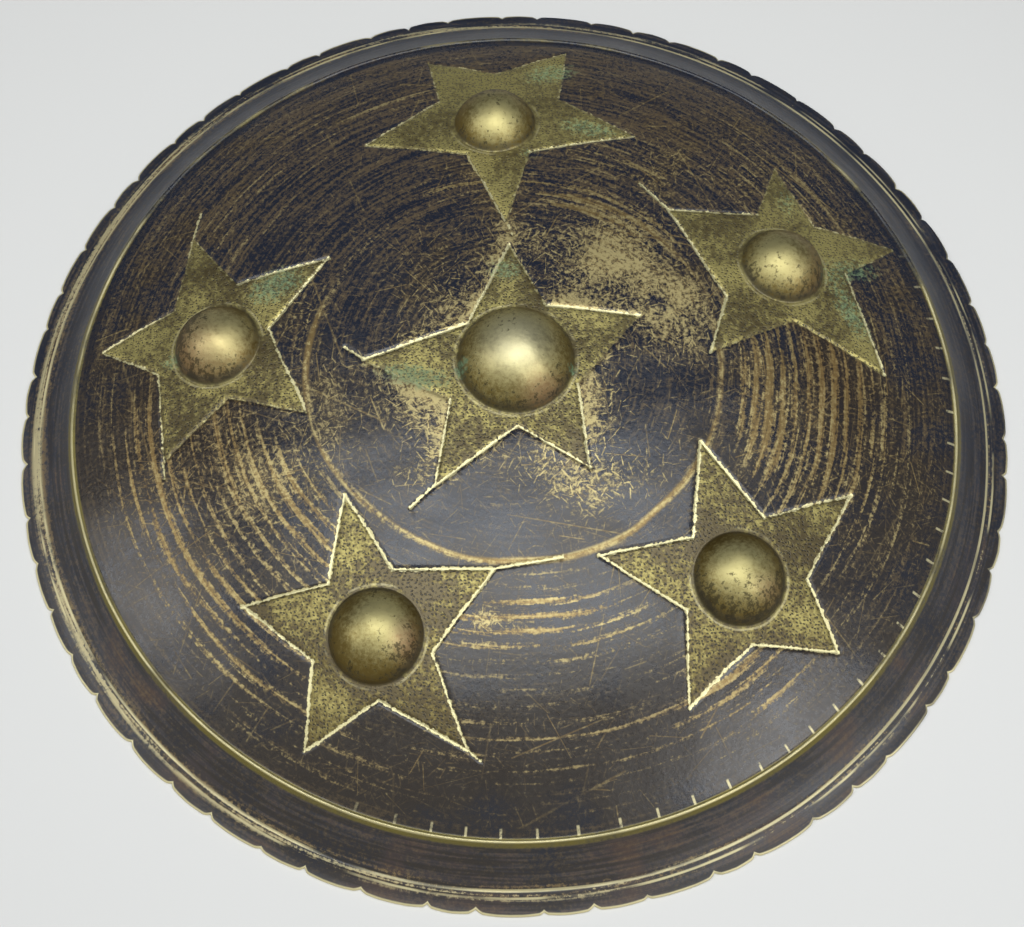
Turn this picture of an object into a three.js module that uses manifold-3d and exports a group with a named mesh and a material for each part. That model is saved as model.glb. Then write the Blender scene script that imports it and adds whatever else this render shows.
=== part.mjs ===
// A round buckler raised from one sheet of brass: a domed field with six hollow bosses, an engraved
// five-pointed star round each boss, a creased ring, and a coved brim whose edge is cut into petals.
// It lies face up on its rim. Its origin is the middle of the plane it lies on, and +Z is up.
import * as THREE from "three";
import { mergeVertices } from "three/addons/utils/BufferGeometryUtils.js";
import Module from "manifold-3d";

// Driving dimensions, in millimetres and degrees.
const rimRadius = 165;
const sheet = 1.4;
const edgeThickness = 0.9; // the rim is hammered thinner than the sheet
const restWidth = 2.5; // the flat under the rim's edge

const fieldRise = 22.8; // from the field's edge to its crown
const fieldFullness = 0.36; // the share of the rise that follows the fourth power of the radius

const creaseWidth = 2.2; // the bevel between the field and the brim
const creaseStep = 0.9; // the field's edge stands this far above the top of the brim
const creaseProud = 0.35; // the bead's crest above the field's edge

const brimWidth = 18.5; // from the crease to the rim's edge
const brimHeight = 9.3; // from the rim's edge to the top of the brim
const brimHollow = 1.65; // the power that makes the brim a cove
const lineInset = 7.1; // from the rim's edge to the engraved ring on the brim
const lineWidth = 1.2;
const lineDepth = 0.35;

const petalCount = 60;
const nickWidth = 4.2;
const nickDepth = 1.6;
const nickWander = 0.7; // how far a hand-cut nick strays from its even place, in degrees

const centreBoss = { radius: 18.4, height: 13.4 };
const outerBoss = { radius: 14.2, height: 10.2 };
const bossInset = 47.3; // from the field's edge to the circle on which the outer bosses stand

const starReach = 44; // from a boss's middle to a typical tip
const strokeWidth = 2;
const strokeDepth = 0.7;
const strokeEnd = 0.6; // how deep and wide a stroke still is at its ends, as a share of its middle

// Radii that follow from the sizes above.
const brimStart = rimRadius - brimWidth;
const fieldRadius = brimStart - creaseWidth;
const lineRadius = rimRadius - lineInset;
const bossCircle = fieldRadius - bossInset;

// The stars were drawn freehand. Each is its tips and the notches between them, in turn, clockwise
// from above, as shares of starReach from the middle of its boss. azimuth is that of the boss.
const stars = [
  {
    boss: centreBoss, circle: 0, azimuth: 0,
    outline: [
      [-0.06, 0.98], [0.22, 0.45], [0.9, 0.39], [0.44, -0.19], [0.53, -0.82],
      [0.02, -0.52], [-0.55, -0.97], [-0.46, -0.32], [-1.1, 0.0], [-0.35, 0.29],
    ],
  },
  {
    boss: outerBoss, circle: bossCircle, azimuth: 94.9,
    outline: [
      [0.57, 0.9], [0.51, 0.29], [1.1, -0.1], [0.28, -0.31], [0.1, -1.0],
      [-0.21, -0.34], [-1.02, -0.22], [-0.45, 0.26], [-0.57, 0.77], [-0.01, 0.6],
    ],
  },
  {
    boss: outerBoss, circle: bossCircle, azimuth: 24.5,
    outline: [
      [0.03, 0.98], [0.29, 0.42], [0.97, 0.35], [0.51, 0.01], [0.72, -0.84],
      [0.05, -0.48], [-0.6, -0.8], [-0.45, -0.32], [-0.86, 0.44], [-0.16, 0.47],
    ],
  },
  {
    boss: outerBoss, circle: bossCircle, azimuth: -45.3,
    outline: [
      [-0.24, 0.97], [0.19, 0.44], [0.84, 0.66], [0.48, 0.03], [0.69, -0.45],
      [0.08, -0.44], [-0.36, -0.87], [-0.37, -0.23], [-0.97, 0.12], [-0.32, 0.27],
    ],
  },
  {
    boss: outerBoss, circle: bossCircle, azimuth: -114.6,
    outline: [
      [-0.26, 0.98], [0.1, 0.45], [0.79, 0.45], [0.38, -0.11], [0.63, -0.73],
      [0.03, -0.42], [-0.46, -0.73], [-0.42, -0.16], [-0.94, 0.22], [-0.34, 0.35],
    ],
  },
  {
    boss: outerBoss, circle: bossCircle, azimuth: 175.3,
    outline: [
      [-0.3, 0.98], [0.1, 0.52], [0.79, 0.7], [0.38, 0.11], [0.71, -0.58],
      [0.13, -0.44], [-0.31, -0.9], [-0.43, -0.2], [-0.91, 0.06], [-0.37, 0.34],
    ],
  },
];

// How finely the curves are faceted.
const turnSteps = 72;
const fieldSteps = 8;
const backSteps = 5;
const ringSpread = 0.8; // under 1, it draws the field's rings closer together towards its edge
const bossTurnSteps = 18;
const bossSteps = 4;
const hollowSteps = 3;

const wasm = await Module();
wasm.setup();

// A geometry without normals or texture coordinates, its shared vertices merged, as a solid.
function solidOf(geometry) {
  const bare = geometry.clone();
  bare.deleteAttribute("normal");
  bare.deleteAttribute("uv");
  const merged = mergeVertices(bare, 1e-4);
  return new wasm.Manifold(
    new wasm.Mesh({
      numProp: 3,
      vertProperties: new Float32Array(merged.attributes.position.array),
      triVerts: new Uint32Array(merged.index.array),
    }),
  );
}

function geometryOf(solid) {
  const mesh = solid.getMesh();
  const geometry = new THREE.BufferGeometry();
  geometry.setAttribute("position", new THREE.BufferAttribute(mesh.vertProperties, 3));
  geometry.setIndex(new THREE.BufferAttribute(mesh.triVerts, 1));
  geometry.computeVertexNormals();
  return geometry;
}

// A profile of [radius, height] points turned about the Z axis.
function turned(profile, steps) {
  const points = profile.map(([radius, height]) => new THREE.Vector2(radius, height));
  return new THREE.LatheGeometry(points, steps).rotateX(Math.PI / 2);
}

const brimTop = edgeThickness + brimHeight;
const fieldEdge = brimTop + creaseStep;

// Height of the field: it falls from the crown with the square and the fourth power of the radius.
function fieldHeight(radius) {
  const q = radius / fieldRadius;
  return fieldEdge + fieldRise * (1 - (1 - fieldFullness) * q ** 2 - fieldFullness * q ** 4);
}

// Height of the brim: a power curve that flattens out towards the rim.
function brimHeightAt(radius) {
  const left = Math.max(0, (rimRadius - radius) / (rimRadius - brimStart));
  return edgeThickness + brimHeight * left ** brimHollow;
}

// Height of the front at any radius, with the crease as a straight bevel.
function frontHeight(radius) {
  if (radius <= fieldRadius) return fieldHeight(radius);
  if (radius >= brimStart) return brimHeightAt(radius);
  return THREE.MathUtils.mapLinear(radius, fieldRadius, brimStart, fieldEdge, brimTop);
}

// Height of the back: the front set down by the sheet's thickness along the surface normal.
function backHeight(radius) {
  const reach = creaseWidth / 2;
  const slope = (frontHeight(radius + reach) - frontHeight(radius - reach)) / (2 * reach);
  return frontHeight(radius) - sheet * Math.hypot(1, slope);
}

// Radii from the axis to the field's edge, drawn closer together towards the edge.
function fieldRadii(steps) {
  return Array.from({ length: steps }, (_, i) => fieldRadius * ((i + 1) / steps) ** ringSpread);
}

// The sheet without bosses: the front from the crown to the rim, then the back to the axis.
function plainSheet() {
  const front = [0, ...fieldRadii(fieldSteps)].map((r) => [r, fieldHeight(r)]);
  front.push([fieldRadius + creaseWidth / 2, fieldEdge + creaseProud]);
  const lineStart = lineRadius - lineWidth / 2;
  const lineEnd = lineRadius + lineWidth / 2;
  const coveSpan = lineStart - brimStart;
  const coveRadii = [0, 0.3, 0.65].map((share) => brimStart + coveSpan * share);
  front.push(...[...coveRadii, lineStart].map((r) => [r, brimHeightAt(r)]));
  front.push([lineRadius, brimHeightAt(lineRadius) - lineDepth]);
  const restStart = rimRadius - restWidth;
  front.push(...[lineEnd, restStart, rimRadius].map((r) => [r, brimHeightAt(r)]));

  const back = [[rimRadius, 0], [restStart, 0]];
  const brimBack = [0.55, 0.15].map((share) => brimStart + (rimRadius - brimStart) * share);
  const fieldBack = fieldRadii(backSteps).reverse();
  back.push(...[...brimBack, ...fieldBack, 0].map((r) => [r, backHeight(r)]));
  return solidOf(turned([...front, ...back].reverse(), turnSteps));
}

// A cap of a sphere that stands on a short skirt, as a geometry about the Z axis. The cap's foot
// is at height 0.
function capped(radius, height, skirt, steps) {
  const ball = (radius ** 2 + height ** 2) / (2 * height);
  const footAngle = Math.atan2(radius, ball - height);
  const profile = [[0, -skirt], [radius, -skirt]];
  for (let i = steps; i > 0; i -= 1) {
    const angle = (footAngle * i) / steps;
    profile.push([ball * Math.sin(angle), height - ball + ball * Math.cos(angle)]);
  }
  profile.push([0, height]);
  return turned(profile, bossTurnSteps);
}

// The middle of a boss on the front, and the turn that stands its axis square to the field.
function placeOf({ circle, azimuth }) {
  const turn = THREE.MathUtils.degToRad(azimuth);
  const step = sheet;
  const slope = (fieldHeight(circle + step) - fieldHeight(Math.abs(circle - step))) / (2 * step);
  const lean = circle > 0 ? -Math.atan(slope) : 0;
  const place = new THREE.Matrix4().makeRotationZ(turn);
  place.multiply(new THREE.Matrix4().makeTranslation(circle, 0, fieldHeight(circle)));
  return place.multiply(new THREE.Matrix4().makeRotationY(lean));
}

// One graver's cut as a solid: a V that follows the front from one point to another and is
// shallower at both ends. It stands above the front, so that it cuts cleanly.
function strokeSolid(from, to) {
  const along = to.clone().sub(from).normalize();
  const across = new THREE.Vector2(-along.y, along.x);
  const lift = strokeDepth;
  const points = [];
  for (const [share, full] of [[0, strokeEnd], [0.5, 1], [1, strokeEnd]]) {
    const middle = from.clone().lerp(to, share);
    const height = frontHeight(middle.length());
    const depth = strokeDepth * full;
    const spread = ((strokeWidth / 2) * (depth + lift)) / strokeDepth;
    const left = middle.clone().addScaledVector(across, spread);
    const right = middle.clone().addScaledVector(across, -spread);
    points.push(middle.x, middle.y, height - depth);
    points.push(right.x, right.y, height + lift);
    points.push(left.x, left.y, height + lift);
  }
  const faces = [0, 1, 2];
  const sections = points.length / 9;
  for (let i = 0; i < sections - 1; i += 1) {
    for (let k = 0; k < 3; k += 1) {
      const a = 3 * i + k;
      const b = 3 * i + ((k + 1) % 3);
      faces.push(a, b + 3, b, a, a + 3, b + 3);
    }
  }
  const last = 3 * (sections - 1);
  faces.push(last, last + 2, last + 1);
  const geometry = new THREE.BufferGeometry();
  geometry.setAttribute("position", new THREE.Float32BufferAttribute(points, 3));
  geometry.setIndex(faces);
  return solidOf(geometry);
}

// The ten cuts that draw one star.
function starCuts({ circle, azimuth, outline }) {
  const turn = THREE.MathUtils.degToRad(azimuth);
  const middle = new THREE.Vector2(Math.cos(turn), Math.sin(turn)).multiplyScalar(circle);
  const corners = outline.map(([x, y]) => {
    return new THREE.Vector2(x, y).multiplyScalar(starReach).add(middle);
  });
  return corners.map((corner, i) => strokeSolid(corner, corners[(i + 1) % corners.length]));
}

// The notch that parts two petals: a V with rounded shoulders, cut straight down.
function nickSolid(index) {
  const shape = new THREE.Shape();
  shape.moveTo(nickDepth, -nickWidth);
  shape.lineTo(0, -nickWidth / 2);
  shape.lineTo(-nickDepth * 0.45, -nickWidth / 5);
  shape.lineTo(-nickDepth, 0);
  shape.lineTo(-nickDepth * 0.45, nickWidth / 5);
  shape.lineTo(0, nickWidth / 2);
  shape.lineTo(nickDepth, nickWidth);
  shape.closePath();
  const tall = edgeThickness + brimHeight;
  const wander = nickWander * Math.sin(index * 2.4 + Math.sin(index * 1.3));
  const angle = ((index + 0.5) * 360) / petalCount + wander;
  const geometry = new THREE.ExtrudeGeometry(shape, { depth: 2 * tall, bevelEnabled: false });
  geometry.translate(rimRadius, 0, -tall);
  return solidOf(geometry.rotateZ(THREE.MathUtils.degToRad(angle)));
}

function shieldSolid() {
  let shield = plainSheet();
  for (const star of stars) {
    const place = placeOf(star);
    const { radius, height } = star.boss;
    const boss = capped(radius, height, sheet / 2, bossSteps);
    const hollow = capped(radius - sheet, height - sheet, 3 * sheet, hollowSteps);
    shield = shield.add(solidOf(boss.applyMatrix4(place)));
    shield = shield.subtract(solidOf(hollow.applyMatrix4(place)));
  }
  for (const cut of stars.flatMap(starCuts)) shield = shield.subtract(cut);
  for (let i = 0; i < petalCount; i += 1) shield = shield.subtract(nickSolid(i));
  return shield;
}

const patinatedBrass = new THREE.MeshStandardMaterial({
  color: 0x5a5340,
  roughness: 0.45,
  metalness: 0.85,
});

const shield = new THREE.Mesh(geometryOf(shieldSolid()), patinatedBrass);
shield.name = "shield";

const group = new THREE.Group();
group.add(shield);

export default group;
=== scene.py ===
# %% [markdown]
# # A patinated brass buckler
#
# The object is one raised sheet of brass, 330 mm across: a domed field with six hollow bosses, a
# freehand star engraved round each, a creased ring, and a coved brim whose edge is cut into
# petals. Its near-black patina is worn through to dull brass by scratches and by rubbing.
#
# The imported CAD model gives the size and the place. Everything below is worked out in millimetres
# in the CAD's own frame, and becomes metres when a mesh is made.

import math

import bpy
import numpy as np
from mathutils import Matrix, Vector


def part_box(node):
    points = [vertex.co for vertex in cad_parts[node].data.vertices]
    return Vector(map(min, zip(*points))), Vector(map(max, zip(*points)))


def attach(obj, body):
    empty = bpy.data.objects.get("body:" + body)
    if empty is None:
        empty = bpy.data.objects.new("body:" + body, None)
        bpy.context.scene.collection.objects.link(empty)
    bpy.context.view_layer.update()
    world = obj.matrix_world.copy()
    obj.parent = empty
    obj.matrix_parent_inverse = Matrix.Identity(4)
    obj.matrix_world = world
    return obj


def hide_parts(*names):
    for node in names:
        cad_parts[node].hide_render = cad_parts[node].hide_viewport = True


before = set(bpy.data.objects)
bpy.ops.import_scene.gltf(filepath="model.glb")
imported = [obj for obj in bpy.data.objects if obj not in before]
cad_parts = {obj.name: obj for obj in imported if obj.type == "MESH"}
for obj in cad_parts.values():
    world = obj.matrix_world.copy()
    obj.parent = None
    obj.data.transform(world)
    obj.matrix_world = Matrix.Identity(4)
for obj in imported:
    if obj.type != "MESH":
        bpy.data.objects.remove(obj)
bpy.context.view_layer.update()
MM = 0.001
_, cad_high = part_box("shield")
RIM = float(cad_high[0]) / MM
print("rim radius", round(RIM, 2), "mm")

# %% [markdown]
# ## The camera
#
# The photograph looks down on the shield from close by, at 67 degrees above the table, which is
# why the near petals are larger than the far ones. A camera can be placed by hand with Track To,
# but here its distance, height and lens were solved from the ellipses of the rim, so they are
# written as numbers and its axes are built as vectors.

# %% Place the camera
ELEVATION = math.radians(67.05)
ROLL = math.radians(0.754)
DISTANCE = 2.752 * RIM
TARGET = np.array([-0.0048 * RIM, -0.1326 * RIM, 0.9])
FOCAL_PIXELS = 1371.0
PHOTO_WIDTH = 1024
SENSOR = 36.0


def put(name, data):
    """Puts an object in the scene."""
    made = bpy.data.objects.new(name, data)
    bpy.context.scene.collection.objects.link(made)
    return made


def facing(across, upward, back, middle):
    """The matrix with these three axes and this place, one to a column."""
    place = Matrix.Identity(4)
    for column, vector in enumerate((across, upward, back, middle)):
        for row in range(3):
            place[row][column] = vector[row]
    return place


def add_camera():
    """The back axis is (0, -cos e, sin e); up and right are turned about it by the roll."""
    back = np.array([0.0, -math.cos(ELEVATION), math.sin(ELEVATION)])
    right = np.array([1.0, 0.0, 0.0])
    up = np.cross(back, right)
    across = math.cos(ROLL) * right + math.sin(ROLL) * up
    upward = math.cos(ROLL) * up - math.sin(ROLL) * right
    data = bpy.data.cameras.new("camera")
    data.sensor_width = SENSOR
    data.lens = FOCAL_PIXELS / PHOTO_WIDTH * SENSOR
    data.clip_start = 0.01
    camera = put("camera", data)
    camera.matrix_world = facing(across, upward, back, (TARGET + DISTANCE * back) * MM)
    bpy.context.scene.camera = camera
    return camera


camera = add_camera()
print("camera lens", round(camera.data.lens, 2), "mm")

# %% [markdown]
# ## The profile of the sheet
#
# A dish like this is raised with a hammer over stakes, so its section is a smooth curve. A lathe
# or a screw modifier could turn that curve, but bosses and petals would have to be cut in later.
# Here the height is a function of the radius alone, so any grid of points can be lifted onto it.

# %% Heights of the field, the crease and the brim
EDGE = 0.9
SHEET = 1.4
FIELD = 144.3
FIELD_RISE = 22.8
FULLNESS = 0.36
CREASE_WIDTH = 2.2
CREASE_STEP = 0.9
CREASE_PROUD = 0.35
BRIM_HEIGHT = 9.3
BRIM_HOLLOW = 1.65
LINE = 157.9
LINE_WIDTH = 1.2
LINE_DEPTH = 0.3
REST = 2.5
RIM_STEP = 0.25
BRIM_START = FIELD + CREASE_WIDTH
FIELD_EDGE = EDGE + BRIM_HEIGHT + CREASE_STEP


def field_height(r):
    """The crown less a mix of the square and the fourth power of the radius."""
    q = r / FIELD
    return FIELD_EDGE + FIELD_RISE * (1 - (1 - FULLNESS) * q**2 - FULLNESS * q**4)


def brim_height(r):
    """A power curve that flattens out at the rim, less a small V for the engraved ring."""
    left = np.clip((RIM - r) / (RIM - BRIM_START), 0, 1)
    groove = np.clip(1 - np.abs(r - LINE) / (LINE_WIDTH / 2), 0, 1)
    return EDGE + BRIM_HEIGHT * left**BRIM_HOLLOW - LINE_DEPTH * groove


def front_height(r):
    """Field inside, brim outside, and between them a bevel with a rounded bead on it."""
    share = np.clip((r - FIELD) / CREASE_WIDTH, 0, 1)
    bevel = FIELD_EDGE + (EDGE + BRIM_HEIGHT - FIELD_EDGE) * share
    bead = (CREASE_PROUD + CREASE_STEP / 2) * np.sin(np.pi * share) ** 1.5
    between = (r > FIELD) & (r < BRIM_START)
    plain = np.where(r <= FIELD, field_height(np.minimum(r, FIELD)), brim_height(r))
    return np.where(between, bevel + bead, plain)


def slope_of(r):
    """The front's slope by a central difference over a millimetre or so."""
    step = 0.8
    return (front_height(r + step) - front_height(np.abs(r - step))) / (2 * step)


crown = float(front_height(np.array(0.0)))
print("crown", round(crown, 2), "mm, crease", round(FIELD_EDGE, 2), "mm")

# %% [markdown]
# ## Bosses and stars
#
# The six bosses are hammered up from behind, so each is a cap of a ball with a soft foot, standing
# square to the field. Each star was drawn freehand with a graver, so its corners are a short list
# of points, given as shares of the reach of a typical tip.

# %% Where the bosses stand and how the stars are drawn
REACH = 44.0
CENTRE_BOSS = (18.4, 13.4)
OUTER_BOSS = (14.2, 10.2)
BOSS_CIRCLE = 97.0
FOOT_SOFT = 1.5
OUTER = dict(boss=OUTER_BOSS, circle=BOSS_CIRCLE)
STARS = [
    dict(boss=CENTRE_BOSS, circle=0.0, azimuth=0.0,
         outline=[(-0.06, 0.98), (0.22, 0.45), (0.9, 0.39), (0.44, -0.19), (0.53, -0.82),
                  (0.02, -0.52), (-0.55, -0.97), (-0.46, -0.32), (-1.1, 0.0), (-0.35, 0.29)],
         shine=[0.45, 0.9, 0.1, 0.8, 0.75, 0.95, 0.8, 0.35, 0.95, 0.85]),
    dict(OUTER, azimuth=94.9,
         outline=[(0.57, 0.9), (0.51, 0.29), (1.1, -0.1), (0.28, -0.31), (0.1, -1.0),
                  (-0.21, -0.34), (-1.02, -0.22), (-0.45, 0.26), (-0.57, 0.77), (-0.01, 0.6)],
         shine=[0.4, 0.35, 0.7, 0.3, 0.55, 0.45, 0.6, 0.4, 0.3, 0.35]),
    dict(OUTER, azimuth=24.5,
         outline=[(0.03, 0.98), (0.29, 0.42), (0.97, 0.35), (0.51, 0.01), (0.72, -0.84),
                  (0.05, -0.48), (-0.6, -0.8), (-0.45, -0.32), (-0.86, 0.44), (-0.16, 0.47)],
         shine=[0.35, 0.4, 0.25, 0.75, 0.25, 0.2, 0.8, 0.85, 0.7, 0.35]),
    dict(OUTER, azimuth=-45.3,
         outline=[(-0.24, 0.97), (0.19, 0.44), (0.84, 0.66), (0.48, 0.03), (0.69, -0.45),
                  (0.08, -0.44), (-0.36, -0.87), (-0.37, -0.23), (-0.97, 0.12), (-0.32, 0.27)],
         shine=[0.9, 0.7, 0.85, 0.9, 0.85, 0.9, 0.75, 0.8, 0.9, 0.95]),
    dict(OUTER, azimuth=-114.6,
         outline=[(-0.26, 0.98), (0.1, 0.45), (0.79, 0.45), (0.38, -0.11), (0.63, -0.73),
                  (0.03, -0.42), (-0.46, -0.73), (-0.42, -0.16), (-0.94, 0.22), (-0.34, 0.35)],
         shine=[0.9, 0.95, 0.9, 0.75, 0.85, 0.9, 0.85, 0.85, 0.8, 0.85]),
    dict(OUTER, azimuth=175.3,
         outline=[(-0.3, 0.98), (0.1, 0.52), (0.79, 0.7), (0.38, 0.11), (0.71, -0.58),
                  (0.13, -0.44), (-0.31, -0.9), (-0.43, -0.2), (-0.91, 0.06), (-0.37, 0.34)],
         shine=[0.35, 0.8, 0.85, 0.75, 0.35, 0.3, 0.6, 0.6, 0.55, 0.35]),
]
# Where the graver ran on past a tip: the star, and the stretch in millimetres from its boss.
OVERRUNS = [
    (0, (-24.2, -42.6), (-31.5, -49.5), 0.9),
    (0, (-48.0, 0.3), (-54.5, 4.6), 0.7),
    (2, (-37.7, 19.5), (-46.8, 30.0), 0.9),
    (4, (34.8, 19.9), (55.0, 23.6), 0.9),
    (4, (27.7, -32.0), (31.5, -35.0), 0.6),
    (5, (-13.3, 43.3), (-12.0, 54.5), 0.5),
    (5, (-14.0, -39.8), (-13.0, -45.0), 0.6),
    (1, (4.3, -44.0), (6.5, -50.0), 0.4),
]


def boss_frame(star):
    """The boss's middle on the front, and its outward, sideways and upright unit vectors."""
    turn = math.radians(star["azimuth"])
    circle = star["circle"]
    lean = -math.atan(float(slope_of(np.array(circle)))) if circle > 0 else 0.0
    middle = np.array([circle * math.cos(turn), circle * math.sin(turn),
                       float(field_height(circle))])
    side = np.array([-math.sin(turn), math.cos(turn), 0.0])
    upright = np.array([math.sin(lean) * math.cos(turn), math.sin(lean) * math.sin(turn),
                        math.cos(lean)])
    outward = np.cross(side, upright)
    return middle, outward, side, upright


def foot_plane(star):
    """The boss's middle on the plan, and the axes of its foot circle seen from above."""
    middle, outward, side, _ = boss_frame(star)
    return middle[:2], np.stack([outward[:2], side[:2]])


def corners_of(star):
    """The corners of a star on the plan, in millimetres."""
    return np.array(star["outline"]) * REACH + boss_frame(star)[0][:2]


def ball_of(radius, height):
    """The radius of the ball whose cap has this foot radius and this height."""
    return (radius**2 + height**2) / (2 * height)


def under_cap(radius, height):
    """Foot radius of the cap one sheet inside a cap of this radius and height."""
    ball = ball_of(radius, height) - SHEET
    return math.sqrt(2 * ball * height - height**2)


def cap_height(s, radius, height):
    """A ball's cap over its foot circle, joined to the sheet by a smooth maximum with zero."""
    ball = ball_of(radius, height)
    drop = ball - height
    inside = np.sqrt(np.maximum(ball**2 - np.minimum(s, radius) ** 2, 0)) - drop
    steep = radius / drop
    cap = np.where(s <= radius, inside, -(s - radius) * steep)
    blend = np.clip(0.5 + 0.5 * cap / FOOT_SOFT, 0, 1)
    return cap * blend + FOOT_SOFT * blend * (1 - blend) * 0.5


for star in STARS:
    print("boss at", np.round(boss_frame(star)[0], 1), "size", star["boss"])

# %% [markdown]
# ## A plan of points
#
# Seen from above, the sheet is a disc, so its mesh is laid out flat first and lifted afterwards.
# A plain polar grid would cut across the bosses and leave their feet ragged. Here each boss gets
# rings of its own, which open out until they meet the edges of a fifth of the disc, and the brim
# is a finer polar grid with a column of points on every nick. An outline full of random points
# and a triangulation would also do, but grids keep the rows of points along the rings and the
# bosses.

# %% Grids of points on the plan
INNER = 50.0
PETALS = 60
NICK_WIDTH = 3.6
NICK_DEPTH = 0.95
PETAL_ROUND = 0.65
PETAL_HALF = 8.6
NICK_WANDER = 0.7
SECTOR = 72
SECTOR_EDGES = [-81, -9, 63, 135, 207]
FIELD_OUT = 141.0
OUT_STEPS, IN_STEPS, SIDE_STEPS = 48, 24, 28
FOOT_STEPS = np.array([-0.9, -0.45, -0.15, 0.15, 0.45, 0.8, 1.3, 2.0, 3.0])


def ring_of(radius, azimuth):
    """Points at one radius: the radius times the cosine and the sine of each azimuth."""
    return np.stack([radius * np.cos(azimuth), radius * np.sin(azimuth)], -1)


def triangles(*triples):
    """The faces that join these triples of point numbers."""
    return np.concatenate([np.stack(triple, -1) for triple in triples])


def grid_faces(rows, columns, start=0):
    """Two triangles for each cell of a grid whose columns close on themselves."""
    row, column = np.meshgrid(np.arange(rows - 1), np.arange(columns), indexing="ij")
    after = (column + 1) % columns
    a = start + row * columns + column
    b = start + (row + 1) * columns + column
    c = start + (row + 1) * columns + after
    d = start + row * columns + after
    return triangles((a, b, c), (a, c, d)).reshape(-1, 3)


def doubling_faces(columns, inner, outer):
    """Three triangles for each column between a ring and one with twice as many points."""
    i = np.arange(columns)
    near, near_after = inner + i, inner + (i + 1) % columns
    far, middle, far_after = outer + 2 * i, outer + 2 * i + 1, outer + (2 * i + 2) % (2 * columns)
    return triangles((near, far, middle), (near, middle, near_after),
                     (near_after, middle, far_after))


def cap_radii(radius, height, steps):
    """Ring radii over a cap, at equal angles of its ball, so that steep walls get more rings."""
    ball = ball_of(radius, height)
    foot = math.atan2(radius, ball - height)
    angles = np.linspace(0, foot, steps + 1)[1:-1]
    return ball * np.sin(angles)


def boss_grid(star, border, cap_steps, foot_steps, open_steps):
    """Rings about a boss that open out in straight lines until they meet the border points."""
    around = len(border)
    middle, axes = foot_plane(star)
    radius, height = star["boss"]
    flat = (border - middle) @ np.linalg.inv(axes)
    toward = np.unwrap(np.arctan2(flat[:, 1], flat[:, 0]))
    even = toward[0] + 2 * np.pi * np.arange(around) / around
    angle = 0.5 * toward + 0.5 * even
    radii = np.concatenate([cap_radii(radius, height, cap_steps), radius + foot_steps])
    radii = radii[(radii > 0) & (np.diff(radii, prepend=-1.0) > 0.05)]
    rings = ring_of(radii[:, None], angle[None, :])
    share = (np.arange(1, open_steps + 1) / open_steps)[:, None, None]
    opened = rings[-1][None] * (1 - share) + flat[None] * share
    local = np.concatenate([np.zeros((1, 2)), rings.reshape(-1, 2), opened.reshape(-1, 2)])
    rows = len(radii) + open_steps
    first = np.arange(around)
    pole = triangles((0 * first, 1 + first, 1 + (first + 1) % around))
    faces = np.concatenate([pole, grid_faces(rows, around, 1)])
    return local @ axes + middle, faces


def sector_border(edge):
    """Round a fifth of the field: along its outer arc, in, back along its inner arc, and out."""
    start = math.radians(edge)
    end = start + math.radians(SECTOR)
    outer = ring_of(FIELD_OUT, np.linspace(start, end, OUT_STEPS + 1)[:-1])
    inner = ring_of(INNER, np.linspace(end, start, IN_STEPS + 1)[:-1])
    reach = np.linspace(FIELD_OUT, INNER, SIDE_STEPS + 1)
    inward = ring_of(reach[:-1], end)
    outgoing = ring_of(reach[::-1][:-1], start)
    return np.concatenate([outer, inward, inner, outgoing])


def field_patches(under, foot_steps, outer_steps, middle_steps):
    """A grid for the fifth of the field round each outer boss, and one for the middle."""
    places = []
    for edge in SECTOR_EDGES:
        wanted = edge + SECTOR / 2
        star = min(STARS[1:], key=lambda s: abs((s["azimuth"] - wanted + 180) % 360 - 180))
        places.append((star, sector_border(edge), outer_steps))
    count = 5 * IN_STEPS
    azimuth = math.radians(SECTOR_EDGES[0]) + 2 * np.pi * np.arange(count) / count
    places.append((STARS[0], ring_of(INNER, azimuth), middle_steps))
    patches = []
    for star, border, (cap_steps, open_steps) in places:
        if under:
            star = dict(star, boss=(under_cap(*star["boss"]), star["boss"][1]))
        patches.append(boss_grid(star, border, cap_steps, foot_steps, open_steps))
    return patches


print("boss rings at", np.round(cap_radii(*OUTER_BOSS, 9), 1), "mm")

# %% [markdown]
# The brim's columns lie thicker at the nicks. A nick is a V with rounded shoulders, filed by
# hand, so its place and depth wander a little from petal to petal.

# %% Columns of the brim and the cut of a nick
NICK_STEPS = np.array([0, 0.35, 0.8, 1.3, 2.0, 3.0, 4.6, 6.6])
NICK_REACH = 4
PETAL_COLUMNS = 16


def nick_azimuths():
    """Even places halfway between petals, each with a wander of two nested sines, in degrees."""
    k = np.arange(PETALS)
    return (k + 0.5) * 360 / PETALS + NICK_WANDER * np.sin(k * 2.4 + np.sin(k * 1.3))


def brim_azimuths():
    """Sixteen columns a petal: steps on both sides of each nick, and one at the petal's middle."""
    nick = np.radians(nick_azimuths())
    step = NICK_STEPS / RIM
    after = nick[:, None] + step[None, :]
    following = np.append(nick[1:], nick[0] + 2 * np.pi)
    middle = 0.5 * (nick + following)
    before = following[:, None] - step[None, :0:-1]
    return np.concatenate([after, middle[:, None], before], 1).reshape(-1)


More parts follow.
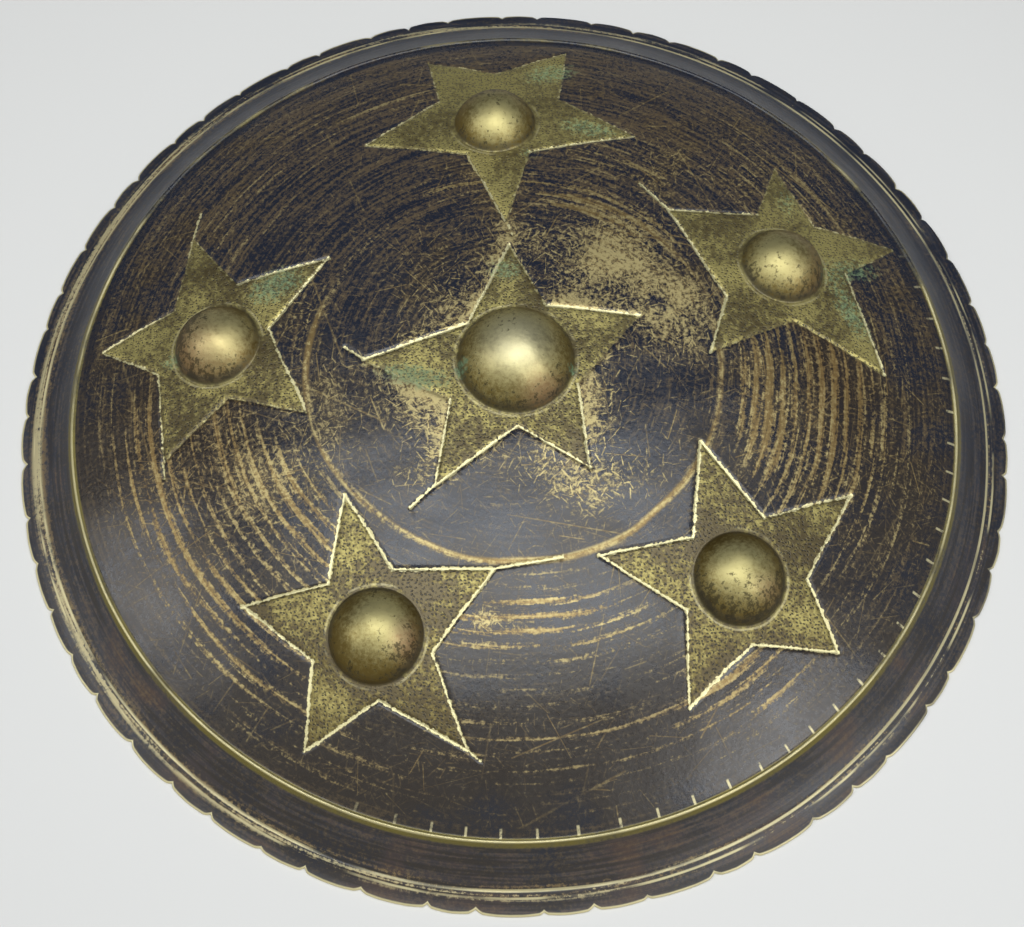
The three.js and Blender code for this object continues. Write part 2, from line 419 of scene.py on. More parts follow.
def nick_depth(azimuth):
    """How far the edge is cut back: a power of how near the nick is, and the petal's own round."""
    k = np.arange(PETALS)
    away = np.degrees(azimuth)[..., None] - nick_azimuths()
    away = np.abs((away + 180) % 360 - 180) * math.radians(1) * RIM
    deep = NICK_DEPTH * (1 + 0.3 * np.sin(k * 3.7 + 1.0))
    wide = NICK_WIDTH / 2 * (1 + 0.25 * np.sin(k * 2.9))
    cut = deep * np.clip(1 - away / wide, 0, 1) ** 1.5
    high = PETAL_ROUND * (1 + 0.35 * np.sin(k * 5.3))
    return (cut + high * np.clip(1 - away / PETAL_HALF, 0, 1) ** 2).max(-1)


def brim_grid(coarse_radii, middle_radii, fine_radii):
    """Polar rings of 240, 480 and 960 points. Towards the rim the columns bend onto the nicks."""
    count = PETAL_COLUMNS * PETALS
    even = math.radians(SECTOR_EDGES[2]) + 2 * np.pi * np.arange(count) / count
    petal = 360 / PETALS
    first = int(round((SECTOR_EDGES[2] - petal / 2) / petal))
    bent = np.unwrap(np.roll(brim_azimuths(), -PETAL_COLUMNS * first))
    bent += np.radians(nick_azimuths()[first]) - bent[0]
    rings, faces, start = [], [], 0
    for radii, step in ((coarse_radii, 4), (middle_radii, 2), (fine_radii, 1)):
        columns = count // step
        bend = np.clip((radii - BRIM_START) / (RIM - NICK_REACH - BRIM_START), 0, 1)[:, None]
        azimuth = ((1 - bend) * even[None] + bend * bent[None])[:, ::step]
        outer = np.clip((radii - (RIM - NICK_REACH)) / NICK_REACH, 0, 1)[:, None]
        reach = radii[:, None] - outer**1.5 * nick_depth(azimuth)
        if rings:
            faces.append(doubling_faces(columns // 2, start - columns // 2, start))
        rings.append(ring_of(reach, azimuth).reshape(-1, 2))
        faces.append(grid_faces(len(radii), columns, start))
        start += len(radii) * columns
    return np.concatenate(rings), np.concatenate(faces)


print("nicks cut", round(float(nick_depth(np.radians(nick_azimuths())).max()), 2), "mm deep")

# %% [markdown]
# The patches share the points along their borders, so points that fall on the same hundredth of a
# millimetre are welded. Then the plan is made finer near the engraving alone: any edge longer
# than the size wanted at its middle is halved, and the triangles beside it are cut to match,
# which keeps the mesh closed.

# %% Weld the patches and refine them near the strokes


def weld(patches):
    """Joins patches of points and faces where their points coincide."""
    points, faces, start = [], [], 0
    for patch_points, patch_faces in patches:
        points.append(patch_points)
        faces.append(patch_faces + start)
        start += len(patch_points)
    points, faces = np.concatenate(points), np.concatenate(faces)
    # The small shift keeps round coordinates away from the halfway mark of rounding.
    keys = np.round(points * 100 + 0.0137).astype(np.int64)
    _, first, inverse = np.unique(keys, axis=0, return_index=True, return_inverse=True)
    faces = inverse.reshape(-1)[faces]
    whole = (faces != np.roll(faces, 1, axis=1)).all(1)
    return points[first], faces[whole]


def stroke_ends():
    """The start, end and brightness of every engraved stroke, in millimetres on the plan."""
    rows = []
    for star in STARS:
        corners = corners_of(star)
        after = np.roll(corners, -1, axis=0)
        rows.extend(np.column_stack([corners, after, star["shine"]]))
    for index, begin, end, shine in OVERRUNS:
        middle = boss_frame(STARS[index])[0][:2]
        rows.append((*(middle + begin), *(middle + end), shine))
    return np.array(rows)


STROKES = stroke_ends()
BEGIN = STROKES[:, :2]
LENGTH = np.linalg.norm(STROKES[:, 2:4] - BEGIN, axis=1)
UNIT = (STROKES[:, 2:4] - BEGIN) / LENGTH[:, None]


def along_across(offset, unit):
    """The parts of an offset along a unit vector and across it."""
    along = (offset * unit).sum(-1)
    return along, offset[..., 0] * unit[..., 1] - offset[..., 1] * unit[..., 0]


def to_strokes(points):
    """Each point's distance to every stroke."""
    along, across = along_across(points[:, None] - BEGIN, UNIT)
    past = np.maximum(np.maximum(-along, along - LENGTH), 0)
    return np.hypot(across, past)


def edges_of(faces):
    """Three edges for each face, each with its lower point first."""
    return np.sort(faces[:, [[0, 1], [1, 2], [2, 0]]].reshape(-1, 2), axis=1)


def refine(points, faces, wanted):
    """Halves every edge that is longer than wanted says, once."""
    unique, inverse = np.unique(edges_of(faces), axis=0, return_inverse=True)
    inverse = inverse.reshape(-1, 3)
    halfway = points[unique].mean(1)
    long = np.linalg.norm(points[unique[:, 0]] - points[unique[:, 1]], axis=1) > wanted(halfway)
    number = np.full(len(unique), -1)
    number[long] = len(points) + np.arange(long.sum())
    points = np.concatenate([points, halfway[long]])
    middle = number[inverse]
    count = (middle >= 0).sum(1)
    # Turns each face so that its halved edges come first.
    turn = np.where(count == 1, (middle >= 0).argmax(1),
                    np.where(count == 2, ((middle < 0).argmax(1) + 1) % 3, 0))
    order = (turn[:, None] + np.arange(3)[None]) % 3
    corner = np.take_along_axis(faces, order, 1)
    middle = np.take_along_axis(middle, order, 1)
    a, b, c = corner.T
    p, q, s = middle.T
    one, two, three = count == 1, count == 2, count == 3
    parts = [faces[count == 0]]
    for mask, triples in ((one, ((a, p, c), (p, b, c))),
                          (two, ((p, b, q), (a, p, q), (a, q, c))),
                          (three, ((a, p, s), (p, b, q), (s, q, c), (p, q, s)))):
        parts += [np.stack(triple, -1)[mask] for triple in triples]
    return points, np.concatenate(parts), int(long.sum())


FINEST = 0.8


def wanted_edge(points):
    """The finest size within a stroke, growing in step with the distance from it."""
    away = to_strokes(points).min(1)
    return FINEST + 1.5 * np.maximum(away - 1.1, 0)


def front_plan():
    """The five sectors, the middle and the brim, welded, with the strokes refined."""
    patches = field_patches(False, FOOT_STEPS, (9, 16), (10, 11))
    coarse = np.array([FIELD_OUT])
    shares = np.array([-0.7, -0.3, 0, 0.18, 0.36, 0.52, 0.68, 0.84, 1.0, 1.5])
    middle = FIELD + CREASE_WIDTH * shares
    fine = np.array([149, 151, 153, 155, 156.7, LINE - 0.6, LINE - 0.3, LINE, LINE + 0.3,
                     LINE + 0.6, 159.6, 160.8, 162.0, 163.2, 164.2, RIM - RIM_STEP])
    patches.append(brim_grid(coarse, middle, fine))
    points, faces = weld(patches)
    for _ in range(6):
        points, faces, halved = refine(points, faces, wanted_edge)
        if not halved:
            break
    return points, faces


plan, plan_faces = front_plan()
print("front plan", len(plan), "points,", len(plan_faces), "triangles")

# %% [markdown]
# ## Lifting the plan
#
# Every plan point is raised onto the dome, then pushed out square to the field where it lies on a
# boss. The strokes are shallow V cuts with a slight lip, and the whole sheet has the slow
# unevenness that hammering leaves. The back repeats the dome one sheet lower, with hollows under
# the bosses, on a coarser plan because nothing is engraved there. A solidify modifier would do
# the back too, but it would double every fine triangle of the front.

# %% Raise the front, the edge and the back
STROKE_WIDTH = 2.0
STROKE_DEPTH = 0.45
LIP = 0.06
UNEVEN = 0.16
DENT = 0.11


def waves(plan_points, seed, lengths, power, soft):
    """A sum of sine waves in random directions, squeezed between nothing and two."""
    rng = np.random.default_rng(seed)
    total = np.zeros(len(plan_points))
    for length in lengths:
        turn, phase = rng.uniform(0, 2 * np.pi, 2)
        along = plan_points @ np.array([math.cos(turn), math.sin(turn)])
        total += np.sin(2 * np.pi * along / length + phase) * (length / lengths[0]) ** power
    return 1 + np.tanh(total / soft)


def hammering(plan_points):
    """Slow waves over the whole sheet, from nothing down to their full depth."""
    return -UNEVEN * waves(plan_points, 7, (52, 41, 33, 27, 22, 19, 16, 14), 0.6, 2.2)


def dents(plan_points):
    """Faster waves, six to eleven millimetres long, for the hammer's marks on the bosses."""
    return -DENT * waves(plan_points, 11, (11.0, 9.5, 8.2, 7.1, 6.3), 1, 1.8)


def to_bosses(plan_points):
    """Distance to the nearest boss's foot, outward is positive, and the number of that boss."""
    reach = []
    for star in STARS:
        middle, axes = foot_plane(star)
        flat = (plan_points - middle) @ np.linalg.inv(axes)
        reach.append(np.linalg.norm(flat, axis=1) - star["boss"][0])
    reach = np.array(reach)
    nearest = reach.argmin(0)
    return reach[nearest, np.arange(len(plan_points))], nearest


def lift(plan_points, under):
    """The dome height at each point, plus the cap's height along the boss's upright."""
    r = np.hypot(plan_points[:, 0], plan_points[:, 1])
    z = front_height(r)
    slow = hammering(plan_points) * np.clip((RIM - 6 - r) / 12, 0, 1)
    if under:
        z = z - SHEET * np.sqrt(1 + np.minimum(np.abs(slope_of(r)), 1) ** 2) + slow
        z = np.maximum(z, 0)
    else:
        away = to_strokes(plan_points).min(1)
        cut = STROKE_DEPTH * np.clip(1 - away / (STROKE_WIDTH / 2), 0, 1)
        lip = LIP * np.exp(-((away / 2.2) ** 2))
        z = z + slow - cut + lip
    points = np.column_stack([plan_points, z])
    foot, nearest = to_bosses(plan_points)
    for index, star in enumerate(STARS):
        radius, height = star["boss"]
        near = (nearest == index) & (foot < 8)
        reach = foot[near] + radius
        wall = under_cap(radius, height) if under else radius
        stand = cap_height(reach, wall, height)
        stand = stand + dents(plan_points[near]) * np.clip(-foot[near] / 4, 0, 1)
        points[near] += stand[:, None] * boss_frame(star)[3]
    return points


def ring_order(points, faces):
    """The open border's points, in order of azimuth."""
    unique, count = np.unique(edges_of(faces), axis=0, return_counts=True)
    border = np.unique(unique[count == 1])
    return border[np.argsort(np.arctan2(points[border, 1], points[border, 0]))]


def back_plan():
    """The front's plan again with fewer rings, and nothing refined."""
    patches = field_patches(True, np.array([-0.6, 0.0, 0.6, 1.6, 3.4]), (6, 6), (7, 5))
    coarse = np.array([FIELD_OUT, 143.2, 145.0, 147.4, 151.0])
    middle = np.array([155.0, 159.0, 161.6])
    fine = np.array([RIM - REST, RIM - RIM_STEP])
    patches.append(brim_grid(coarse, middle, fine))
    return weld(patches)


def build_sheet():
    """Front, three rings round the edge, and back, as one closed skin in millimetres."""
    front = lift(plan, False)
    under_points, under_faces = back_plan()
    under = lift(under_points, True)
    rim = ring_order(plan, plan_faces)
    under_rim = ring_order(under_points, under_faces)
    under[under_rim, 2] = 0
    outward = plan[rim] / np.linalg.norm(plan[rim], axis=1)[:, None]
    edge = [np.column_stack([plan[rim] + RIM_STEP * outward, np.full(len(rim), z)])
            for z in (0.62, 0.26)]
    points = np.concatenate([front, *edge, under])
    first = len(front)
    back_start = first + 2 * len(rim)
    rings = np.concatenate([rim, np.arange(first, back_start), back_start + under_rim])
    wall = rings[grid_faces(4, len(rim))]
    faces = np.concatenate([plan_faces, wall, under_faces[:, ::-1] + back_start])
    side = np.repeat([0, 1, 2], [len(plan_faces), len(wall), len(under_faces)])
    return points, faces, side, rim, back_start


points, faces, side, rim_points, back_start = build_sheet()
print("sheet", len(points), "points,", len(faces), "triangles")

# %% [markdown]
# ## What each point knows
#
# The patina isn't even: it is worn thin by rubbing where hands and cloths reach, turned off in
# rings near the burnished circle, and green where damp sat. A few ovals are painted light instead:
# a painted highlight, over real wear, on the inner side of each outer boss, and painted shade on
# the far side of the upper ones. Those places are painted as soft ovals in numpy, with the boss,
# star and stroke distances beside them, and stored on the mesh for the material to read. Noise
# textures alone would scatter the wear anywhere, and a painted picture would be fixed in size.

# %% Soft ovals and distances


def ovals(plan_points, rows):
    """One minus the product of what each oval leaves: strength times a bell of its own distance."""
    left = np.ones(len(plan_points))
    for x, y, long, short, turn, strength in rows:
        turn = math.radians(turn)
        dx, dy = plan_points[:, 0] - x, plan_points[:, 1] - y
        along = (dx * math.cos(turn) + dy * math.sin(turn)) / long
        across = (dy * math.cos(turn) - dx * math.sin(turn)) / short
        left *= 1 - strength * np.exp(-((along**2 + across**2) ** 1.3))
    return 1 - left


def star_distance(plan_points):
    """Distance to the nearest star's outline: under nothing inside it, over nothing outside."""
    best = np.full(len(plan_points), 99.0)
    for star in STARS:
        corners = corners_of(star)
        after = np.roll(corners, -1, axis=0)
        offset = plan_points[:, None] - corners[None]
        run = after - corners
        share = np.clip((offset * run[None]).sum(-1) / (run**2).sum(-1)[None], 0, 1)
        away = np.linalg.norm(offset - share[..., None] * run[None], axis=-1).min(1)
        y = plan_points[:, 1, None]
        straddles = (corners[None, :, 1] > y) != (after[None, :, 1] > y)
        crossing = corners[:, 0] + run[:, 0] * (y - corners[:, 1]) / run[:, 1]
        inside = (straddles & (plan_points[:, 0, None] < crossing)).sum(1) % 2 == 1
        best = np.minimum(best, np.where(inside, -away, away))
    return best


def stroke_marks(corner_points, face_middles, which):
    """For each corner: along and across its face's first or second stroke, length left, shine."""
    chosen = np.argsort(to_strokes(face_middles), axis=1)[:, which].repeat(3)
    along, across = along_across(corner_points - BEGIN[chosen], UNIT[chosen])
    return np.column_stack([along, across, LENGTH[chosen] - along, STROKES[chosen, 4]])


# Each row: middle, the two half sizes, the turn of the long one in degrees, and the strength.
PAINTED = {
    "turned": [
        (79, -8, 9, 30, 0, 1.0), (100, -14, 24, 46, 0, 0.75), (-82, -82, 48, 22, -45, 0.6),
        (-114, -34, 34, 14, -74, 0.6), (-66, -50, 28, 12, -55, 0.75), (5, -84, 42, 13, 0, 0.6),
        (5, -116, 45, 12, 0, 0.3), (28, 58, 30, 7, -22, 0.75), (-18, 68, 22, 8, 12, 0.55),
        (38, 76, 22, 8, -26, 0.4), (-66, 8, 22, 5, 90, 0.6), (-92, 62, 30, 14, 55, 0.25),
        (-92, -26, 26, 12, -74, 0.5),
        (-52, 100, 40, 14, 30, 0.25), (70, -98, 30, 16, 35, 0.45), (92, 78, 34, 18, -45, 0.3),
    ],
    # Rubbed haze, and a painted highlight on the inner side of each outer boss, added below.
    "rubbed_and_highlit": [
        (29, 36, 27, 19, 45, 0.95), (52, 18, 16, 15, 20, 0.85), (6, 45, 14, 10, 0, 0.6),
        (-29, -19, 15, 8, -40, 0.8), (22, -40, 20, 9, -15, 0.85), (38, -34, 12, 9, 0, 0.5),
        (-14, 26, 17, 9, 30, 0.6), (45, 78, 28, 16, -20, 0.35), (0, 0, 64, 62, 0, 0.35),
        (95, 72, 30, 24, -40, 0.4), (-62, -22, 16, 24, 0, 0.35), (96, -10, 26, 40, 0, 0.35),
        (-8, -84, 5, 4, 0, 1.0), (-30, -38, 10, 7, 30, 0.45),
        (28, -20, 9, 22, -12, 0.85), (-98, -36, 30, 34, 0, 0.5), (-66, -52, 24, 18, -50, 0.35),
        (-68, 20, 8, 20, 0, 0.4),
    ],
    # Dark patches of skin, and painted shade on the far side of the upper bosses, added below.
    "dark_skin_and_shade": [
        (38, -12, 12, 16, 20, 1.0), (45, 22, 3, 2, 0, 1.0), (-62, 66, 36, 26, 40, 0.75),
        (-50, 24, 14, 20, 0, 0.7), (-20, -52, 30, 14, 0, 0.45), (52, -50, 20, 16, 0, 0.35),
        (60, 68, 10, 8, 0, 0.6), (-120, -70, 14, 30, 35, 0.5), (30, -132, 60, 10, 5, 0.5),
    ],
    "verdigris": [
        (10, 123, 11, 6, 22, 0.9), (24, 95, 13, 5, -10, 0.9), (-32, -6, 14, 4.5, -12, 0.9),
        (-4, 33, 7, 5, 0, 0.8), (112, 42, 13, 6, 15, 0.75), (110, 26, 13, 5, -65, 0.9),
        (92, 68, 5, 9, 0, 0.6), (-79, 29, 12, 6.5, 25, 0.95), (-112, 3, 4, 3, 0, 0.8),
        (-17, -4, 3, 3, 0, 0.9), (18, -4, 2, 2, 0, 0.9), (-34, 100, 9, 4, 0, 0.35),
        (4, 82, 5, 4, 0, 0.5), (11, -30, 5, 4, 0, 0.3),
    ],
    "warm": [
        (-128, -39, 16, 22, 0, 0.7), (-111, -75, 22, 14, 0, 0.6), (-38, -126, 30, 9, 0, 0.8),
        (104, 8, 12, 30, 0, 0.9), (60, -110, 34, 18, 30, 0.4), (-104, -24, 24, 34, 0, 0.7),
        (10, -14, 8, 5, 20, 0.9), (-31, -91, 4, 6, 0, 0.9), (-103, 4, 7, 9, 0, 0.5),
        (76, -74, 5, 4, 0, 0.5), (10, -120, 50, 16, 0, 0.45),
    ],
}

# Each outer boss is painted lighter on the side facing the middle: wear from hands, and a painted
# highlight. The upper three are painted darker on their far side, a painted shade.
for star in STARS[1:]:
    x, y = boss_frame(star)[0][:2]
    turn = math.degrees(math.atan2(y, x))
    PAINTED["rubbed_and_highlit"].append((x * 0.93, y * 0.93, 8, 9, turn, 0.95))
    if y > -20:
        PAINTED["dark_skin_and_shade"].append((x * 1.09, y * 1.09, 6, 13, turn, 0.6))
print("painted", sum(len(rows) for rows in PAINTED.values()), "ovals")

# %% Make the mesh with its marks and its flat map
FRONT_MIDDLE, FRONT_SCALE = 0.422, 0.42 / (RIM + 2)
BACK_MIDDLE, BACK_SCALE = 0.848, 0.15 / (RIM + 2)
NO_STROKE = (0.0, 50.0, 0.0, 0.0)
STROKE_NEAR = 6
FAR = 30.0


def flat_map(points, side, rim, back_start):
    """The front as a large disc seen from above with the edge round it, the back as a small one."""
    plane = points[:, :2].copy()
    count = len(rim)
    first = back_start - 2 * count
    for ring in (0, 1):
        rows = slice(first + ring * count, first + (ring + 1) * count)
        away = points[rim, :2] / np.linalg.norm(points[rim, :2], axis=1)[:, None]
        plane[rows] = points[rim, :2] + (0.5 + 0.5 * ring) * away
    back = BACK_MIDDLE + BACK_SCALE * plane * np.array([-1, 1])
    return FRONT_MIDDLE + FRONT_SCALE * plane, back


def add_shield():
    """Builds the mesh from arrays, and stores the marks on its points and corners."""
    mesh = bpy.data.meshes.new("shield")
    mesh.vertices.add(len(points))
    mesh.loops.add(3 * len(faces))
    mesh.polygons.add(len(faces))
    mesh.vertices.foreach_set("co", (points * MM).astype(np.float32).ravel())
    mesh.polygons.foreach_set("loop_start", np.arange(0, 3 * len(faces), 3, dtype=np.int32))
    mesh.loops.foreach_set("vertex_index", faces.astype(np.int32).ravel())
    mesh.update(calc_edges=True)
    mesh.validate()
    flat = points[:, :2]
    under = np.arange(len(points)) >= back_start
    marks = {
        "foot": np.where(under, FAR, to_bosses(flat)[0]),
        "star": np.where(under, FAR, star_distance(flat)),
        "under": under.astype(float),
        "edge": RIM - nick_depth(np.arctan2(flat[:, 1], flat[:, 0])) - np.hypot(*flat.T),
    }
    for name, rows in PAINTED.items():
        marks[name] = np.where(under, 0.0, ovals(flat, rows))
    for name, values in marks.items():
        attribute = mesh.attributes.new(name, "FLOAT", "POINT")
        attribute.data.foreach_set("value", values.astype(np.float32))
    near = (to_strokes(flat[faces].mean(1)).min(1) < STROKE_NEAR) & (side == 0)
    corners = flat[faces[near]].reshape(-1, 2)
    middles = flat[faces[near]].mean(1)
    for which, name in enumerate(("stroke_a", "stroke_b")):
        values = np.full((len(faces), 3, 4), NO_STROKE)
        values[near] = stroke_marks(corners, middles, which).reshape(-1, 3, 4)
        attribute = mesh.attributes.new(name, "FLOAT_COLOR", "CORNER")
        attribute.data.foreach_set("color", values.astype(np.float32).ravel())
    front, back = flat_map(points, side, rim_points, back_start)
    last = np.isin(faces, back_start + np.arange(len(points) - back_start)) & (side == 1)[:, None]
    edge_map = front[faces]
    away = flat[faces] / np.linalg.norm(flat[faces], axis=-1)[..., None].clip(1e-6)
    edge_map = np.where(last[..., None], edge_map + 1.5 * FRONT_SCALE * away, edge_map)
    chart = np.where((side == 2)[:, None, None], back[faces], edge_map)
    layer = mesh.uv_layers.new(name="OFBake")
    layer.data.foreach_set("uv", chart.astype(np.float32).ravel())
    mesh.shade_smooth()
    return put("shield", mesh)


shield = add_shield()
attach(shield, "root")
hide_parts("shield")
print("shield", len(shield.data.polygons), "triangles")

# %% [markdown]
# ## A shorthand for the material
#
# The patina takes a few hundred shader nodes. Linking them one by one hides the formula, and a
# node group drawn by hand can't be read as text. A socket that answers to plus, minus and times
# lets each mask be written as one line of arithmetic.

# %% Sockets that can be calculated with


def by(operation):
    """A method that adds a Math node of this kind."""
    return lambda wire, *values: wire.math(operation, *values)


class Wire:
    """One output of a node tree. Arithmetic on it adds Math nodes and gives a new Wire."""

    def __init__(self, tree, socket=None):
        self.tree = tree
        self.socket = socket

    def node(self, kind, settings, inputs, output=0):
        """Adds any node: its settings first, then a number, colour or Wire for each input."""
        made = self.tree.nodes.new(kind)
        for name, value in settings.items():
            setattr(made, name, value)
        for key, value in inputs.items():
            if isinstance(value, Wire):
                self.tree.links.new(value.socket, made.inputs[key])
            else:
                made.inputs[key].default_value = value
        return Wire(self.tree, made.outputs[output] if made.outputs else None)

    def math(self, operation, *values):
        """A Math node whose first input is this Wire."""
        inputs = dict(enumerate((self, *values)))
        return self.node("ShaderNodeMath", {"operation": operation}, inputs)

    __add__ = __radd__ = by("ADD")
    __sub__ = by("SUBTRACT")
    __mul__ = __rmul__ = by("MULTIPLY")
    __truediv__ = by("DIVIDE")
    __pow__ = by("POWER")
    __abs__ = by("ABSOLUTE")
    least = by("MINIMUM")
    most = by("MAXIMUM")

    def __rsub__(self, other):
        return self * -1.0 + other

    def clip(self):
        return self.most(0.0).least(1.0)

    def band(self, near, far):
        """One while this Wire's size is under near, nothing once it is past far."""
        return 1.0 - abs(self).ramp(near, far)

    def ramp(self, low, high):
        """Nothing at low, one at high, and a smooth step between them."""
        settings = {"interpolation_type": "SMOOTHSTEP", "clamp": True}
        return self.node("ShaderNodeMapRange", settings, {0: self, 1: low, 2: high})

    def mix(self, first, second):
        """The first colour where this Wire is nothing, the second where it is one."""
        settings = {"data_type": "RGBA", "clamp_factor": True}
        return self.node("ShaderNodeMix", settings, {0: self, 6: first, 7: second}, 2)

    def vector(self, operation, *values, output=0):
        """A Vector Math node whose first input is this Wire."""
        inputs = dict(enumerate((self, *values)))
        return self.node("ShaderNodeVectorMath", {"operation": operation}, inputs, output)

    def part(self, axis):
        """One component of a vector."""
        return self.node("ShaderNodeSeparateXYZ", {}, {0: self}, axis)

    def mark(self, name, output=2):
        """A mark stored on the mesh: 2 for a number, 0 for a colour, 3 for its alpha."""
        return self.node("ShaderNodeAttribute", {"attribute_name": name}, {}, output)

    def noise(self, size, detail=3.0, rough=0.55, output=0, size_of="2D"):
        """Noise over this vector, whose largest cells are this size."""
        inputs = {"Vector": self, "Scale": 1 / size, "Detail": detail, "Roughness": rough}
        return self.node("ShaderNodeTexNoise", {"noise_dimensions": size_of}, inputs, output)

    def cells(self, random=1.0):
        """Flat Voronoi cells one unit wide: the colour and the middle of each."""
        settings = {"voronoi_dimensions": "2D", "feature": "F1"}
        inputs = {"Vector": self, "Scale": 1.0, "Randomness": random}
        sockets = self.node("ShaderNodeTexVoronoi", settings, inputs).socket.node.outputs
        return Wire(self.tree, sockets["Color"]), Wire(self.tree, sockets["Position"])


def join(x, y, z=0.0):
    """A vector from three numbers or Wires."""
    return x.node("ShaderNodeCombineXYZ", {}, {0: x, 1: y, 2: z})


def direction_of(turn):
    """The unit vector at this angle."""
    return join(turn.math("COSINE"), turn.math("SINE"))


def layers(colour, *coats):
    """Lays colours one over the other, each with its own share."""
    for share, coat in coats:
        colour = share.mix(colour, coat)
    return colour


print("shorthand ready")

# %% [markdown]
# ## Scratches, streaks and specks
#
# Wear comes in three kinds here. A cloth or a finger leaves hair-fine scratches every way, so
# each cell of a Voronoi pattern carries one straight line at an angle of its own. Turning and
# wiping leave arcs about the middle, so those use a noise stretched along the circles. Rubbing
# leaves a haze of specks. Noise alone would blur all three together; a photograph would hold its
# own light and shade.

# %% Coordinates in millimetres and the three kinds of wear
brass = bpy.data.materials.new("patinated brass")
brass.use_nodes = True
brass.node_tree.nodes.clear()
start = Wire(brass.node_tree)
place = start.node("ShaderNodeTexCoord", {}, {}, 3).vector("MULTIPLY", (1000, 1000, 1000))
east, north = place.part(0), place.part(1)
flat = place.vector("MULTIPLY", (1, 1, 0))
radius = flat.vector("LENGTH", output=1)
around = flat.vector("NORMALIZE")
ARC = 80.0
RIDGE = 4.3


def arc_noise(long, short, shift=0.0):
    """Noise drawn out along the circles: two of its parts follow the direction from the middle,
    and one the radius, so that it has no seam."""
    turn = around.vector("MULTIPLY", (ARC / long, ARC / long, 0))
    bent = turn.vector("ADD", join(0.0 * radius, 0.0, radius / short + shift))
    return bent.noise(1.0, 2.0, size_of="3D")


def scratches(size, width, share, seed):
    """A line of some width through the middle of each cell, fainter from cell to cell."""
    moved = flat.vector("MULTIPLY_ADD", (1 / size, 1 / size, 0), (seed, seed * 1.7, 0))
    colour, middle = moved.cells()
    offset = moved.vector("SUBTRACT", middle)
    normal = direction_of(colour.part(0) * math.pi)
    across = offset.vector("DOT_PRODUCT", normal, output=1) * size
    fine = (colour.part(1) * 1.3 + 0.3) * width
    return across.band(fine * 0.2, fine) * (1.0 - colour.part(2) / share).clip()


long_lines = scratches(31, 0.34, 1.0, 3.1)
short_lines = scratches(9.5, 0.24, 1.0, 5.7)
hair = scratches(2.6, 0.22, 1.4, 4.4)
broad = arc_noise(70, 4.6)
narrow = arc_noise(20, 1.0, 7.0)
bend = around.noise(0.6, 1.0, size_of="3D")
ridges = ((radius + bend * 9.0) * (2 * math.pi / RIDGE)).math("SINE")
specks = place.noise(1.3, 3.0, 0.75, size_of="3D")
patches = flat.noise(22.0, 3.0)
grain = flat.noise(2.0, 3.0, 0.65)
print("wear uses", len(brass.node_tree.nodes), "nodes so far")

# %% [markdown]
# ## Patina and bare metal
#
# The dark skin is a thin glossy layer, bluish where it is thick and brown where it is thin, so it
# is nearly black and not metallic, and its sheen comes from the studio light. Where it has gone
# the dull brass shows. One mask says how bare the metal is, and colour, gloss and metalness
# follow it.

# %% Where the skin is worn through
names = "turned", "rubbed_and_highlit", "dark_skin_and_shade", "warm", "verdigris", "foot", "star", "edge", "under"
turned, rubbed_and_highlit, dark_skin_and_shade, warm, green, foot, star_edge, rim_edge, under_side = map(start.mark, names)

BURNISHED = 66.0
inner = radius.ramp(146, 143)
# Wear is held back under dark patches of skin and under the painted shade beside the upper bosses.
arc_wear = (broad * 0.3 + ridges * 0.08 + narrow * 0.43 + specks * 0.43 + turned * 0.2
            - dark_skin_and_shade * 0.1)
arc_bare = arc_wear.ramp(0.69, 0.81) * (turned * 1.4 + 0.3).clip()
halo = star_edge.ramp(8, 0) * radius.ramp(58, 42) * patches.ramp(0.35, 0.65)
haze_wear = (specks * 0.62 + hair * 0.22 + patches * 0.34 + rubbed_and_highlit * 0.22 + halo * 0.1
             - dark_skin_and_shade * 0.16)
haze_bare = haze_wear.ramp(0.57, 0.78) * (rubbed_and_highlit * 1.1 + halo * 0.5 + 0.2).clip()
line_share = (patches * 0.8 + rubbed_and_highlit * 0.5 - dark_skin_and_shade * 0.3 + specks * 0.4
              + radius.ramp(85, 45) * 0.2).ramp(0.25, 0.9)
line_bare = (long_lines * 0.9).most(short_lines * 0.75)
line_bare = line_bare.most(hair * (rubbed_and_highlit * 0.5 + 0.25)) * line_share
circle_part = (broad * 0.8 + specks * 0.7 + turned * 0.2 - north * 0.0018).ramp(0.62, 0.9)
circle_bare = (radius - BURNISHED + (bend - 0.5) * 5.0).band(0.4, 1.6) * circle_part
field_bare = arc_bare.most(haze_bare).most(line_bare).most(circle_bare) * inner
streaks = specks * 0.6 + narrow * 0.5
veil = (streaks + hair * 0.06 + north * 0.0006).ramp(0.5, 0.72)

# %% [markdown]
# Inside each star the skin was cleaned back to an olive brass and then covered with small punch
# marks, a millimetre and a bit apart. The strokes read how far a point lies along and across its
# own stroke, which keeps them sharp where two of them cross.

# %% Punch marks and engraved strokes
ROCKING = 1.6
PUNCH = 1.15


def stroke(name):
    """Bright within its wandering width, from end to end, in steps as the graver rocks."""
    where = start.mark(name, 0)
    shine = start.mark(name, 3)
    along, across, left = (where.part(axis) for axis in range(3))
    sway = (patches - 0.5) * 1.6
    steps = (along * (2 * math.pi / ROCKING)).math("SINE")
    wide = 0.2 + shine * 0.4 + steps * 0.06 + (grain - 0.5) * 1.6
    inside = (across + sway).band(wide - 0.35, wide + 0.1)
    ends = along.ramp(-0.8, -0.2) * left.ramp(-0.8, -0.2)
    strength = (shine * 0.95 + grain + patches * 0.6 - 0.75).clip()
    return inside * ends * strength


stroke_bare = stroke("stroke_a").most(stroke("stroke_b"))

